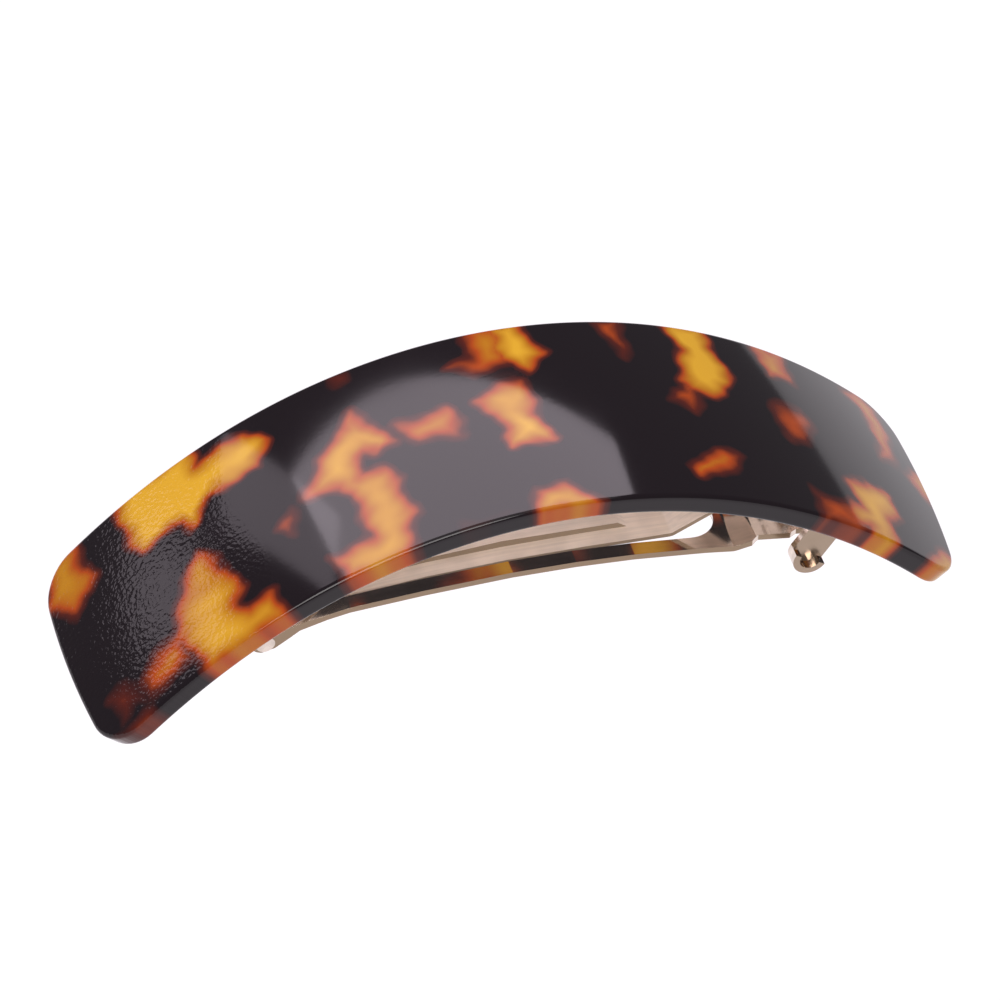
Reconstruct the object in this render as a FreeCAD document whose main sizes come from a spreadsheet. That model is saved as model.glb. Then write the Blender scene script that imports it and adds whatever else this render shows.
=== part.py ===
"""Barrette: a bent acetate plate on a spring-steel hair clasp.

Millimetres.  +X runs along the plate from the hinge end to the catch end, +Y
across it and +Z up through the top of the arch.  The origin lies under the
middle of the plate, level with the two ends that it stands on.

The plate is bent to three tangent arcs.  A place on it is given by s, the arc
length along its top face from the middle, and by depth, the distance inwards
from that face.  Everything that is fixed to the plate is placed by s and depth.
"""
import FreeCAD, Part
import math
import os
from FreeCAD import Vector

DIMENSIONS = (
    # plate
    ("plate_arc", 103.8, "length of the plate along its top face"),
    ("plate_width", 25.1, "width of the plate at its middle"),
    ("plate_thick", 2.3, "thickness of the acetate"),
    ("plate_radius", 50.4, "bend radius of the top face, middle part"),
    ("plate_end_radius", 70.2, "bend radius of the top face, end parts"),
    ("plate_bend_half", 27.0, "arc length from the middle to the end parts"),
    ("plate_corner", 4.3, "radius of the plate's four corners"),
    ("plate_edge", 0.45, "rounding of the plate's upper edge"),
    # base
    ("sheet", 0.7, "thickness of the clasp's sheet metal"),
    ("clasp_width", 9.6, "width over the arm"),
    ("side_play", 0.2, "clearance of the base's lugs inside the arm's cheeks, each side"),
    ("gap", 0.1, "clearance between parts that move past each other"),
    ("base_width", "=clasp_width - 2 * sheet - 2 * side_play", "width of the base"),
    ("base_left", 41.65, "arc length from the middle to the base's hinge end"),
    ("base_right", 43.35, "arc length from the middle to the base's catch end"),
    ("ear_root_s", 38.15, "arc length from the middle to the catch's rivet and ears"),
    ("saddle_length", 5.2, "length of the catch's saddle along the base"),
    # hinge
    ("pin_x", -25.3, "hinge pin, along the plate"),
    ("pin_drop", 19.35, "hinge pin, below the top of the arch"),
    ("pin_radius", 0.6, "hinge pin radius"),
    ("pin_play", 0.05, "radial clearance of the pin in the arm"),
    ("pin_head", 0.3, "thickness of each head of the pin"),
    ("pin_head_rim", 0.36, "how far each head stands out round the pin"),
    ("lug_s", -34.45, "arc length from the middle to the lugs' roots"),
    ("lug_root", 7.0, "length of each lug's root along the base"),
    ("lug_radius", 2.1, "rounding of the base's hinge lugs round the pin"),
    ("cheek_radius", 1.45, "rounding of the arm's cheeks round the pin"),
    # arm
    ("rail", 1.6, "width of each rail beside the arm's slot"),
    ("slot_left", -20.4, "hinge end of the arm's slot"),
    ("slot_right", 22.1, "catch end of the arm's slot"),
    ("slot_corner", 1.5, "rounding of the slot's corners at its hinge end"),
    ("arm_bend", 1.0, "bend radius of the arm's folds"),
    ("tongue_step", 0.6, "how far each side of the arm steps in to the tongue"),
    ("nose_step", 1.1, "how far each side of the arm steps in to the nose"),
    ("nose_width", "=clasp_width - 2 * nose_step", "width of the nose between the catch ears"),
    ("nose_end", 34.6, "tip of the nose"),
    ("window_rim", 1.15, "width of the sheet beside the window in the nose"),
    ("window_width", "=nose_width - 2 * window_rim", "width of the window in the nose"),
    ("window_length", 3.0, "length of the window in the nose"),
    # bow
    ("bow_sheet", 0.45, "thickness of the bow"),
    ("bow_play", 0.4, "room between the bow and each rail of the arm"),
    ("bow_width", "=clasp_width - 2 * rail - 2 * bow_play", "width of the bow"),
    ("bow_bend", 0.8, "bend radius of the bow's folds"),
    ("bow_kink", 17.1, "distance from the middle to the bow's bends"),
    ("bow_end_gap", 0.4, "space between the bow's end and the catch's saddle"),
    ("bow_end", "=ear_root_s - saddle_length / 2 - bow_end_gap", "arc length out to the bow's ends"),
    ("rib_width", 1.9, "width of the bow's stiffening rib"),
    ("rib_rise", 0.7, "height of the bow's stiffening rib"),
    ("rib_half", 13.5, "distance from the middle to each end of the rib"),
    ("keeper_length", 2.2, "length of each loop that holds a bow end"),
    ("keeper_play", 0.2, "room beside the bow in its loops, each side"),
    ("keeper_inset", 0.4, "how far the bow's ends reach past their loops"),
    # catch
    ("ear_width", 3.8, "width of a catch ear's strip"),
    ("ear_tilt", 33.0, "lean of a catch ear towards the hinge, degrees"),
    ("ear_gap", 2.0, "space between the nose and each ear"),
    ("ear_lobe", 1.8, "radius of the lobe that ends an ear"),
    ("ear_length", 5.2, "length of an ear from its root to its lobe"),
    ("ear_lip", 1.0, "how far the ear's lip stands out"),
    ("prong_length", 2.0, "length of each prong in the window"),
    ("prong_below", 1.2, "how far each prong reaches below the nose"),
    ("prong_set", 0.9, "distance of the prongs from the ears' root towards the hinge"),
    ("prong_neck", 0.75, "height of the prongs' bars above the nose"),
    ("prong_hook", 0.2, "how far each prong's barb stands out under the nose's sheet"),
    ("barb_height", 1.0, "height of each prong's barb"),
    ("rivet_radius", 1.0, "radius of the rivets' shanks"),
    ("rivet_head", 1.7, "radius of the rivets' heads"),
    ("rivet_rise", 0.5, "height of the rivets' heads"),
    ("rivet_bite", 1.3, "how far the fixing rivets go into the acetate"),
    ("rivet_play", 0.02, "radial clearance of the rivets in their holes"),
)

doc = FreeCAD.newDocument("Barrette")
sheet = doc.addObject("Spreadsheet::Sheet", "Dimensions")
for row, (alias, value, note) in enumerate(DIMENSIONS, start=1):
    sheet.set("A%d" % row, str(value))
    sheet.setAlias("A%d" % row, alias)
    sheet.set("B%d" % row, note)
doc.recompute()


def size(alias):
    """The value of one named cell."""
    return float(getattr(sheet, alias))


# ---------------------------------------------------------------- the bend
MID_TURN = size("plate_bend_half") / size("plate_radius")


def bend_angle(s):
    """Downward slope of the plate at arc length s, positive on the catch side."""
    turn = min(abs(s), size("plate_bend_half")) / size("plate_radius")
    turn += max(abs(s) - size("plate_bend_half"), 0.0) / size("plate_end_radius")
    return math.copysign(turn, s)


def bend_centres():
    """Centres of the middle arc and of the catch-side end arc, top at height 0."""
    mid = (0.0, -size("plate_radius"))
    reach = size("plate_end_radius") - size("plate_radius")
    end = (mid[0] - reach * math.sin(MID_TURN), mid[1] - reach * math.cos(MID_TURN))
    return mid, end


def below_top(s, depth):
    """(x, height below the arch's top as a negative number) of a place."""
    mid, end = bend_centres()
    turn = abs(bend_angle(s))
    centre, radius = (mid, size("plate_radius")) if turn <= MID_TURN else (end, size("plate_end_radius"))
    x = centre[0] + (radius - depth) * math.sin(turn)
    z = centre[1] + (radius - depth) * math.cos(turn)
    return math.copysign(x, s), z


UNDER = size("plate_thick")
TOP = -below_top(size("plate_arc") / 2, UNDER)[1]
ROOTS_DRAWN = ((-30.037, 12.664), (33.833, 15.660))


def place(s, depth):
    """(x, z) of a place on the plate in the part's own frame."""
    x, z = below_top(s, depth)
    return x, z + TOP


def drop(x, fall):
    """(x, z) of a point of the clasp, drawn at x and fall below the arch's top.

    The clasp is drawn between its two roots on the base, and a point is carried
    with them: where a root moves by some amount, the points near it move as much.
    """
    roots = (below_top(size("lug_s"), UNDER), below_top(size("ear_root_s"), UNDER))
    (left_x, left_fall), (right_x, right_fall) = ROOTS_DRAWN
    share = (x - left_x) / (right_x - left_x)
    shift_x = (1 - share) * (roots[0][0] - left_x) + share * (roots[1][0] - right_x)
    shift_z = (1 - share) * (roots[0][1] + left_fall) + share * (roots[1][1] + right_fall)
    return x + shift_x, TOP - fall + shift_z


def along(x):
    """Where a place drawn at x along the clasp lies."""
    return drop(x, 0.0)[0]


# ---------------------------------------------------------------- outlines
def line(start, end):
    return Part.LineSegment(Vector(start[0], start[1], 0), Vector(end[0], end[1], 0))


def arc(centre, radius, first, last):
    """Arc of a circle, counter-clockwise from angle first to angle last, radians."""
    circle = Part.Circle(Vector(centre[0], centre[1], 0), Vector(0, 0, 1), radius)
    return Part.ArcOfCircle(circle, first, last)


def polygon(points):
    """Closed outline of straight lines."""
    return [line(points[i - 1], points[i]) for i in range(len(points))]


def circle(centre, radius):
    return [Part.Circle(Vector(centre[0], centre[1], 0), Vector(0, 0, 1), radius)]


def bent_sheet(first, last, near, far):
    """Outline of a sheet between two depths that follows the plate from s to s."""
    mid, end = bend_centres()
    stops = [first] + [s for s in (-size("plate_bend_half"), size("plate_bend_half"))
                       if first < s < last] + [last]
    edges = []
    for depth in (near, far):
        for start, stop in zip(stops, stops[1:]):
            middle = (start + stop) / 2
            outer = abs(middle) > size("plate_bend_half")
            side = math.copysign(1.0, middle) if outer else 1.0
            centre = (side * end[0], end[1] + TOP) if outer else (mid[0], mid[1] + TOP)
            radius = size("plate_end_radius") if outer else size("plate_radius")
            edges.append(arc(centre, radius - depth, math.pi / 2 - bend_angle(stop),
                             math.pi / 2 - bend_angle(start)))
    for s in (first, last):
        edges.append(line(place(s, near), place(s, far)))
    return edges


def slab(s, half_length, near, far):
    """Outline of a straight block on the plate's slope at s, between two depths."""
    x, z = place(s, 0.0)
    slope = bend_angle(s)
    along = (math.cos(slope), -math.sin(slope))
    inwards = (-math.sin(slope), -math.cos(slope))
    corners = ((-half_length, near), (half_length, near), (half_length, far), (-half_length, far))
    return polygon([(x + a * along[0] + d * inwards[0], z + a * along[1] + d * inwards[1])
                    for a, d in corners])


def folded_strip(points, thick, bend):
    """Outline of a sheet folded along a line of points, its lower face on them.

    points are (x, z); bend is the inside radius of every fold.
    """
    def offset(distance):
        moved = []
        for i, point in enumerate(points):
            before = points[max(i - 1, 0)]
            after = points[min(i + 1, len(points) - 1)]
            ahead = math.atan2(after[1] - point[1], after[0] - point[0]) if i < len(points) - 1 else None
            behind = math.atan2(point[1] - before[1], point[0] - before[0]) if i else None
            ahead = behind if ahead is None else ahead
            behind = ahead if behind is None else behind
            middle = (ahead + behind) / 2
            reach = distance / math.cos((ahead - behind) / 2)
            moved.append((point[0] - reach * math.sin(middle), point[1] + reach * math.cos(middle)))
        return moved

    def rounded(path, grow):
        """Edges along a path whose corners become arcs of bend plus grow or less."""
        edges = []
        start = path[0]
        for before, corner, after, side in zip(path, path[1:], path[2:], turns):
            radius = bend + (thick if side * grow > 0 else 0.0)
            into = math.atan2(corner[1] - before[1], corner[0] - before[0])
            out = math.atan2(after[1] - corner[1], after[0] - corner[0])
            reach = radius * math.tan(abs(out - into) / 2)
            enter = (corner[0] - reach * math.cos(into), corner[1] - reach * math.sin(into))
            leave = (corner[0] + reach * math.cos(out), corner[1] + reach * math.sin(out))
            centre = (enter[0] - side * radius * math.sin(into), enter[1] + side * radius * math.cos(into))
            edges.append(line(start, enter))
            a = math.atan2(enter[1] - centre[1], enter[0] - centre[0])
            b = math.atan2(leave[1] - centre[1], leave[0] - centre[0])
            a, b = (a, b) if side > 0 else (b, a)
            edges.append(arc(centre, radius, a, b if b > a else b + 2 * math.pi))
            start = leave
        return edges + [line(start, path[-1])]

    turns = []
    for before, corner, after in zip(points, points[1:], points[2:]):
        cross = ((corner[0] - before[0]) * (after[1] - corner[1])
                 - (corner[1] - before[1]) * (after[0] - corner[0]))
        turns.append(math.copysign(1.0, cross))
    upper = offset(thick)
    caps = [line(points[0], upper[0]), line(points[-1], upper[-1])]
    return rounded(points, 1) + rounded(upper, -1) + caps


# ---------------------------------------------------------------- features
def body(name):
    """An empty PartDesign body."""
    made = doc.addObject("PartDesign::Body", name)
    made.Label = name
    return made


def sketch(owner, name, plane, edges, offset=None):
    """A sketch on one of the body's own planes; offset is an expression."""
    made = owner.newObject("Sketcher::SketchObject", name)
    origin = [item for item in owner.Origin.OriginFeatures if item.Role == plane]
    made.AttachmentSupport = [(origin[0], "")]
    made.MapMode = "FlatFace"
    if offset:
        made.setExpression("AttachmentOffset.Base.z", offset)
    for edge in edges:
        made.addGeometry(edge, False)
    doc.recompute()
    return made


def pad(owner, name, profile, length, both_ways=True):
    """A sketch made solid; length is an expression."""
    made = owner.newObject("PartDesign::Pad", name)
    made.Profile = profile
    made.setExpression("Length", length)
    made.Midplane = both_ways
    profile.Visibility = False
    doc.recompute()
    return made


def pocket(owner, name, profile, length=None, both_ways=False, flip=False):
    """A cut that must remove material; with no length it goes through all."""
    before = owner.Shape.Volume
    made = owner.newObject("PartDesign::Pocket", name)
    made.Profile = profile
    if length:
        made.setExpression("Length", length)
    else:
        made.Type = "ThroughAll"
    made.Midplane = both_ways
    made.Reversed = flip
    profile.Visibility = False
    doc.recompute()
    if owner.Shape.Volume >= before - 1e-6:
        raise RuntimeError("%s cuts nothing" % name)
    return made


def soften(owner, name, edges, radius):
    """Fillet of the last feature's chosen edges."""
    tip = owner.Tip
    names = ["Edge%d" % (i + 1) for i, edge in enumerate(tip.Shape.Edges) if edges(edge)]
    made = owner.newObject("PartDesign::Fillet", name)
    made.Base = (tip, names)
    made.setExpression("Radius", radius)
    doc.recompute()
    return made


def turned(owner, name, s, corners, cut=False):
    """A round feature about the line that runs inwards from the plate at s.

    corners are (radius, depth) pairs on one side of that line.
    """
    x, z = place(s, 0.0)
    slope = bend_angle(s)
    points = [(x + r * math.cos(slope) - d * math.sin(slope), z - r * math.sin(slope) - d * math.cos(slope))
              for r, d in corners]
    profile = sketch(owner, name + "Profile", "XZ_Plane", polygon(points))
    profile.addGeometry(line((x, z), place(s, UNDER)), True)
    before = owner.Shape.Volume if owner.Tip else 0.0
    made = owner.newObject("PartDesign::Groove" if cut else "PartDesign::Revolution", name)
    made.Profile = profile
    made.ReferenceAxis = (profile, ["Axis0"])
    made.Angle = 360.0
    profile.Visibility = False
    doc.recompute()
    if cut and owner.Shape.Volume >= before - 1e-6:
        raise RuntimeError("%s cuts nothing" % name)
    return made


def box_profile(low, high):
    """Corners of an upright rectangle in (radius, depth)."""
    return ((low[0], low[1]), (high[0], low[1]), (high[0], high[1]), (low[0], high[1]))


FIXING_PLACES = (-24.0, 24.0)
BASE_FACE = UNDER + size("sheet")
PIN = drop(size("pin_x"), size("pin_drop"))
BITE = 0.2      # how far joined features reach into each other
PAST = 1.0      # how far a cut runs past the faces it opens
LUG_ROOM = (9.0, 14.0)      # half length and depth of the room between the lugs
LUG_WEB = 0.25              # sheet left under that room


# ---------------------------------------------------------------- plate
def make_plate():
    """Acetate plate: the bent strip, its corners rounded and its edge softened."""
    half = size("plate_arc") / 2
    owner = body("acetate_plate")
    profile = sketch(owner, "PlateBend", "XZ_Plane", bent_sheet(-half, half, 0.0, UNDER))
    pad(owner, "PlateStrip", profile, "Dimensions.plate_width")
    soften(owner, "PlateCorners", lambda e: at_plate_corner(e, half), "Dimensions.plate_corner")
    soften(owner, "PlateEdge", on_top_rim, "Dimensions.plate_edge")
    for number, s in enumerate(FIXING_PLACES + (catch_place(),)):
        bore = ((0.0, UNDER - size("rivet_bite")), (size("rivet_radius"), UNDER + PAST))
        turned(owner, "RivetBore%d" % number, s, box_profile(*bore), cut=True)
    return owner


def at_plate_corner(edge, half):
    """True for the short straight edges through the thickness at the four corners."""
    if abs(edge.Length - UNDER) > 1e-3 or len(edge.Vertexes) != 2:
        return False
    middle = (edge.Vertexes[0].Point + edge.Vertexes[1].Point) / 2
    x = place(half, UNDER / 2)[0]
    return abs(abs(middle.x) - x) < 1e-3


def on_top_rim(edge):
    """True for the edges of the top face's rim: every point at depth zero."""
    first, last = edge.ParameterRange
    for share in (0.0, 0.5, 1.0):
        point = edge.valueAt(first + share * (last - first))
        if abs(depth_at(point)) > 1e-3:
            return False
    return abs(edge.valueAt((first + last) / 2).y) > 1e-3 or edge.Length > 1.0


def depth_at(point):
    """Distance of a point inwards from the plate's top face."""
    mid, end = bend_centres()
    x = abs(point.x)
    z = point.z - TOP
    from_mid = math.atan2(x - mid[0], z - mid[1])
    if from_mid <= MID_TURN + 1e-9:
        return size("plate_radius") - math.hypot(x - mid[0], z - mid[1])
    return size("plate_end_radius") - math.hypot(x - end[0], z - end[1])


# ---------------------------------------------------------------- base
KEEPER_ROOM = "Dimensions.bow_width + 2 * Dimensions.keeper_play"


def make_base():
    """Base strip with its two hinge lugs and the two loops that hold the bow."""
    owner = body("base_plate")
    strip = bent_sheet(-size("base_left"), size("base_right"), UNDER, BASE_FACE)
    pad(owner, "BaseStrip", sketch(owner, "BaseBend", "XZ_Plane", strip), "Dimensions.base_width")
    pad(owner, "LugBlock", sketch(owner, "LugSide", "XZ_Plane", lug_outline()), "Dimensions.base_width")
    inside = "Dimensions.base_width - 2 * Dimensions.sheet"
    between = sketch(owner, "LugGapSide", "XZ_Plane", lug_gap_outline())
    pocket(owner, "LugGap", between, inside, both_ways=True)
    hole = sketch(owner, "PinHoleSide", "XZ_Plane", circle(PIN, size("pin_radius")))
    pocket(owner, "PinHole", hole, both_ways=True)
    for number, s in enumerate(keeper_places()):
        half = size("keeper_length") / 2
        far = BASE_FACE + size("bow_sheet") + 3 * size("gap") + size("sheet")
        block = sketch(owner, "KeeperSide%d" % number, "XZ_Plane", slab(s, half, UNDER + BITE, far))
        pad(owner, "Keeper%d" % number, block, KEEPER_ROOM + " + 2 * Dimensions.sheet")
        room = slab(s, half + PAST, BASE_FACE, far - size("sheet"))
        tunnel = sketch(owner, "TunnelSide%d" % number, "XZ_Plane", room)
        pocket(owner, "Tunnel%d" % number, tunnel, KEEPER_ROOM, both_ways=True)
    for number, s in enumerate(FIXING_PLACES + (catch_place(),)):
        bore = ((0.0, UNDER - PAST), (size("rivet_radius"), BASE_FACE + PAST))
        turned(owner, "RivetHole%d" % number, s, box_profile(*bore), cut=True)
    return owner


def keeper_places():
    """Arc lengths at the middles of the two loops."""
    inset = size("keeper_length") / 2 + size("keeper_inset")
    return (-(size("bow_end") - inset), size("bow_end") - inset)


def catch_place():
    """Arc length at the middle of the catch."""
    return size("ear_root_s")


def lug_outline():
    """Side of the hinge lugs: from the base's sheet down and round the pin."""
    left = place(size("lug_s") - size("lug_root") / 2, BASE_FACE - BITE)
    right = place(size("lug_s") + size("lug_root") / 2, BASE_FACE - BITE)
    return tangent_hull(left, right, PIN, size("lug_radius"))


def tangent_hull(left, right, centre, radius):
    """Outline of a tab: two root points joined by tangents to a round end."""
    def touch(point, side):
        away = math.hypot(point[0] - centre[0], point[1] - centre[1])
        towards = math.atan2(point[1] - centre[1], point[0] - centre[0])
        return towards + side * math.acos(radius / away)

    def at(angle):
        return centre[0] + radius * math.cos(angle), centre[1] + radius * math.sin(angle)

    first = touch(left, 1)
    last = touch(right, -1)
    while last < first:
        last += 2 * math.pi
    return [line(left, at(first)), arc(centre, radius, first, last), line(at(last), right),
            line(right, left)]


def lug_gap_outline():
    """Room between the lugs, which leaves the base's own sheet whole."""
    return slab(size("lug_s"), LUG_ROOM[0], BASE_FACE + LUG_WEB, BASE_FACE + LUG_ROOM[1])


# ---------------------------------------------------------------- rivets and pin
def make_fixing_rivets():
    """Round-headed rivets that hold the base to the acetate, one solid each."""
    made = []
    for number, s in enumerate(FIXING_PLACES):
        owner = body("fixing_rivet_%d" % number)
        turned(owner, "Rivet", s, rivet_corners(BASE_FACE))
        made.append(owner)
    return joined("fixing_rivets", made)


def joined(label, bodies):
    """One node that holds several separate solids."""
    made = doc.addObject("Part::Compound", label)
    made.Label = label
    made.Links = bodies
    doc.recompute()
    return made


def rivet_corners(face):
    """(radius, depth) corners of a rivet whose head sits on the hollow face at a depth."""
    tip = UNDER - size("rivet_bite")
    shank = size("rivet_radius") - size("rivet_play")
    head = size("rivet_head")
    seat = face + head ** 2 / (2 * (size("plate_radius") - face - head))
    rise = size("rivet_rise")
    shoulder, crown = 0.4 * rise, 0.6 * head
    return ((0.0, tip), (shank, tip), (shank, seat), (head, seat), (head, seat + shoulder),
            (crown, seat + rise), (0.0, seat + rise))


def make_catch_rivet():
    """Rivet that holds the catch's saddle to the base and the acetate."""
    owner = body("catch_rivet")
    turned(owner, "Rivet", catch_place(), rivet_corners(BASE_FACE + size("sheet")))
    return owner


def make_pin():
    """Hinge pin with two flat heads outside the arm's cheeks."""
    owner = body("hinge_pin")
    shank = sketch(owner, "ShankEnd", "XZ_Plane", circle(PIN, size("pin_radius")))
    pad(owner, "Shank", shank, "Dimensions.clasp_width + 2 * Dimensions.gap")
    head_radius = size("pin_radius") + size("pin_head_rim")
    for side, name in ((-1, "Near"), (1, "Far")):
        reach = "%d * (Dimensions.clasp_width / 2 + Dimensions.gap)" % -side
        head = sketch(owner, name + "HeadEnd", "XZ_Plane", circle(PIN, head_radius), reach)
        made = pad(owner, name + "Head", head, "Dimensions.pin_head", both_ways=False)
        made.Reversed = side > 0
    doc.recompute()
    return owner


# ---------------------------------------------------------------- arm
ARM_FOLDS = ((-22.3, 18.6), (-16.6, 17.72), (-9.0, 17.52), (0.0, 17.58), (6.5, 17.98),
             (12.5, 18.64), (19.9, 19.85), (23.0, 20.5), (25.2, 20.15), (29.3, 20.98))
NOSE_FALL = 21.9
TONGUE_SPAN = (24.8, 25.6, 28.9, 29.7)      # where the arm narrows to the tongue, then the nose
NOSE_CHAMFER = (0.8, 1.8)                   # how far back and how far in the nose's corners go
CHEEK_HEEL = ((-24.2, 20.5), (-22.7, 19.5), (-21.7, 18.78), (-18.8, 18.05), (-18.8, 17.5),
              (-22.2, 18.0))
CHEEK_ROUND = (80.0, 262.0)                 # where the cheek's round part starts and ends, degrees
CHEEK_ROOM = ((-30.0, 16.0), (-22.3, 16.0), (-22.3, 18.63), (-18.7, 18.07), (-18.7, 22.0),
              (-30.0, 22.0))


def arm_points():
    """Folds of the arm's lower face, from the hinge to the joggle and the nose."""
    return [drop(x, fall) for x, fall in ARM_FOLDS + ((size("nose_end"), NOSE_FALL),)]


def make_arm():
    """Spring arm: folded sheet with a long slot, two cheeks and a nose with a window."""
    owner = body("clasp_arm")
    side = sketch(owner, "ArmSide", "XZ_Plane", folded_strip(arm_points(), size("sheet"), size("arm_bend")))
    pad(owner, "ArmSheet", side, "Dimensions.clasp_width")
    for number, outline in enumerate(arm_cut_outlines()):
        cut = sketch(owner, "ArmPlan%d" % number, "XY_Plane", outline)
        pocket(owner, "ArmCut%d" % number, cut, flip=True)
    cheeks = sketch(owner, "CheekSide", "XZ_Plane", cheek_outline())
    pad(owner, "CheekBlock", cheeks, "Dimensions.clasp_width")
    room = sketch(owner, "CheekRoomSide", "XZ_Plane", cheek_room())
    pocket(owner, "CheekRoom", room, "Dimensions.clasp_width - 2 * Dimensions.sheet", both_ways=True)
    hole = circle(PIN, size("pin_radius") + size("pin_play"))
    pocket(owner, "CheekHole", sketch(owner, "CheekHoleSide", "XZ_Plane", hole), both_ways=True)
    return owner


def arm_cut_outlines():
    """Plan outlines cut out of the arm: the slot, the window and the narrow end."""
    half = size("clasp_width") / 2
    inner = half - size("rail")
    left, right = along(size("slot_left")), along(size("slot_right"))
    corner = size("slot_corner")
    flat = inner - corner
    slot = [line((left + corner, -inner), (right - inner, -inner)),
            arc((right - inner, 0.0), inner, -math.pi / 2, math.pi / 2),
            line((right - inner, inner), (left + corner, inner)),
            arc((left + corner, flat), corner, math.pi / 2, math.pi),
            line((left, flat), (left, -flat)),
            arc((left + corner, -flat), corner, math.pi, 3 * math.pi / 2)]
    high = size("window_width") / 2
    x0, x1 = window_span()
    window = polygon(((x0, -high), (x1, -high), (x1, high), (x0, high)))
    outlines = [slot, window]
    tongue, nose = half - size("tongue_step"), size("nose_width") / 2
    wide_end, tongue_start, tongue_end, nose_start = [along(x) for x in TONGUE_SPAN]
    tip = along(size("nose_end"))
    back, inwards = NOSE_CHAMFER
    for side in (-1, 1):
        outlines.append(polygon(((wide_end, side * (half + PAST)), (wide_end, side * half),
                                 (tongue_start, side * tongue), (tongue_end, side * tongue),
                                 (nose_start, side * nose), (tip - back, side * nose),
                                 (tip + PAST, side * (nose - inwards)),
                                 (tip + PAST, side * (half + PAST)))))
    return outlines


def window_span():
    """Ends of the nose's window along the plate; the prongs stand in its middle."""
    middle = prong_middle()
    return middle - size("window_length") / 2, middle + size("window_length") / 2


def prong_middle():
    """Where the prongs' middles lie along the clasp."""
    return place(size("ear_root_s"), UNDER)[0] - size("prong_set")


def cheek_outline():
    """Side of the arm's cheeks: round the pin, down to the heel and up to the rail."""
    radius = size("cheek_radius")
    top, heel = [math.radians(turn) for turn in CHEEK_ROUND]
    start = (PIN[0] + radius * math.cos(top), PIN[1] + radius * math.sin(top))
    end = (PIN[0] + radius * math.cos(heel), PIN[1] + radius * math.sin(heel))
    points = [end] + [drop(x, fall) for x, fall in CHEEK_HEEL] + [start]
    edges = [line(a, b) for a, b in zip(points, points[1:])]
    return edges + [arc(PIN, radius, top, heel)]


def cheek_room():
    """Everything between the cheeks except the arm's own sheet."""
    return polygon([drop(x, fall) for x, fall in CHEEK_ROOM])


# ---------------------------------------------------------------- bow
BOW_MIDDLE = ((-8.0, 17.5), (0.0, 17.55), (8.0, 17.95))
KINK_FALLS = (18.0, 18.65)
BOW_LEAVES = 0.9            # how far past its loop the bow starts to leave the base
RIB_FALLS = (17.75, 17.45, 18.3)
RIB_SLOPE = 1.5             # length of the rib's sloping ends


def bow_points():
    """Folds of the bow's lower face from end to end, in keepers at both ends."""
    depth = BASE_FACE + size("gap") + size("bow_sheet")
    end, kink = size("bow_end"), size("bow_kink")
    leave = end - size("keeper_length") - BOW_LEAVES
    lower = depth + size("gap")
    return ([place(-end, depth), place(-leave, lower), drop(-kink, KINK_FALLS[0])]
            + [drop(x, fall) for x, fall in BOW_MIDDLE]
            + [drop(kink, KINK_FALLS[1]), place(leave, lower), place(end, depth)])


def make_bow():
    """Tension bow: one folded strip with a stiffening rib along its middle."""
    owner = body("tension_bow")
    strip = folded_strip(bow_points(), size("bow_sheet"), size("bow_bend"))
    side = sketch(owner, "BowSide", "XZ_Plane", strip)
    pad(owner, "BowStrip", side, "Dimensions.bow_width")
    half = size("rib_half")
    rise = size("rib_rise") + size("bow_sheet")
    foot = [drop(x, fall) for x, fall in zip((-half, 0.0, half), RIB_FALLS)]
    crest = [(x + lean * RIB_SLOPE, z + rise) for (x, z), lean in zip(foot, (1, 0, -1))]
    rib_side = foot + crest[::-1]
    pad(owner, "Rib", sketch(owner, "RibSide", "XZ_Plane", polygon(rib_side)), "Dimensions.rib_width")
    return owner


# ---------------------------------------------------------------- catch
def make_saddle():
    """Catch saddle riveted to the base, with a short wing above each ear."""
    owner = body("catch_saddle")
    s = catch_place()
    half = size("saddle_length") / 2
    strip = bent_sheet(s - half, s + half, BASE_FACE, BASE_FACE + size("sheet"))
    pad(owner, "Saddle", sketch(owner, "SaddleSide", "XZ_Plane", strip), saddle_width())
    bore = ((0.0, UNDER), (size("rivet_radius"), BASE_FACE + size("sheet") + PAST))
    turned(owner, "SaddleHole", s, box_profile(*bore), cut=True)
    return owner


def saddle_width():
    """Width over the saddle's wings, which cover both ears."""
    return "Dimensions.nose_width + 2 * Dimensions.ear_gap + 2 * Dimensions.sheet"


def ear_root():
    """(x, z) at the middle of an ear's root, just clear of the saddle."""
    return place(size("ear_root_s"), BASE_FACE + size("sheet") + size("gap"))


def ear_frame(along, across):
    """A point of the ear's side view: along from its root, across towards the catch end."""
    lean = math.radians(size("ear_tilt"))
    x, z = ear_root()
    return (x - along * math.sin(lean) + across * math.cos(lean),
            z - along * math.cos(lean) - across * math.sin(lean))


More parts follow.
